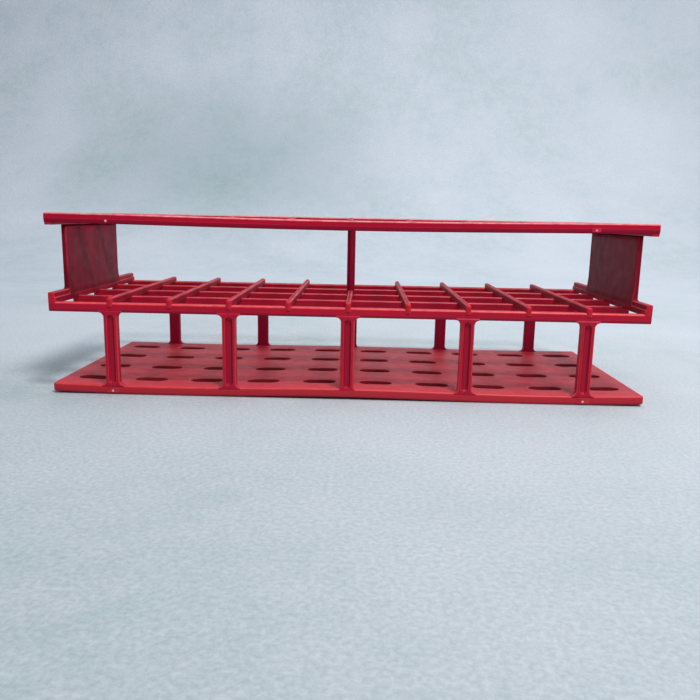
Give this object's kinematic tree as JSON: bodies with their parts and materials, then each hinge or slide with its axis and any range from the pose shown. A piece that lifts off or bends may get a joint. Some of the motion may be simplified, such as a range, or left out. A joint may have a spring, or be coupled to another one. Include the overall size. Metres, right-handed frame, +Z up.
{
  "type": "test tube rack",
  "caption": "Moulded plastic wire-look test tube rack: slotted base plate on short legs, middle grid, end panels and open top grid.",
  "frame": {"origin": "centre of the base plate's flat underside", "axes": "+X along the rack's length, +Y from the front row of places to the rear row, +Z up"},
  "size_m": [0.2466, 0.1024, 0.0746],
  "materials": {
    "frame_plastic": "satin moulded polypropylene, saturated red",
    "panel_plastic": "satin moulded polypropylene, deeper red",
    "base_plastic": "fine-grained, slightly dull moulded polypropylene, red"
  },
  "bodies": {
    "root": {"base_plate": "base_plastic", "front_leg_1": "frame_plastic", "front_leg_2": "frame_plastic", "front_leg_3": "frame_plastic", "front_leg_4": "frame_plastic", "front_leg_5": "frame_plastic", "rear_leg_1": "frame_plastic", "rear_leg_2": "frame_plastic", "rear_leg_3": "frame_plastic", "rear_leg_4": "frame_plastic", "rear_leg_5": "frame_plastic", "middle_front_rail": "frame_plastic", "middle_rear_rail": "frame_plastic", "middle_inner_rail_1": "frame_plastic", "middle_inner_rail_2": "frame_plastic", "middle_inner_rail_3": "frame_plastic", "middle_cross_bar_1": "frame_plastic", "middle_cross_bar_2": "frame_plastic", "middle_cross_bar_3": "frame_plastic", "middle_cross_bar_4": "frame_plastic", "middle_cross_bar_5": "frame_plastic", "middle_cross_bar_6": "frame_plastic", "middle_cross_bar_7": "frame_plastic", "middle_cross_bar_8": "frame_plastic", "middle_cross_bar_9": "frame_plastic", "middle_end_bar_left": "frame_plastic", "middle_end_bar_right": "frame_plastic", "end_panel_left": "panel_plastic", "end_panel_right": "panel_plastic", "centre_post": "frame_plastic", "top_front_rail": "frame_plastic", "top_rear_rail": "frame_plastic", "top_inner_rail_1": "frame_plastic", "top_inner_rail_2": "frame_plastic", "top_inner_rail_3": "frame_plastic", "top_cross_bar_1": "frame_plastic", "top_cross_bar_2": "frame_plastic", "top_cross_bar_3": "frame_plastic", "top_cross_bar_4": "frame_plastic", "top_cross_bar_5": "frame_plastic", "top_cross_bar_6": "frame_plastic", "top_cross_bar_7": "frame_plastic", "top_cross_bar_8": "frame_plastic", "top_cross_bar_9": "frame_plastic", "top_end_bar_left": "frame_plastic", "top_end_bar_right": "frame_plastic"}
  },
  "joints": []
}
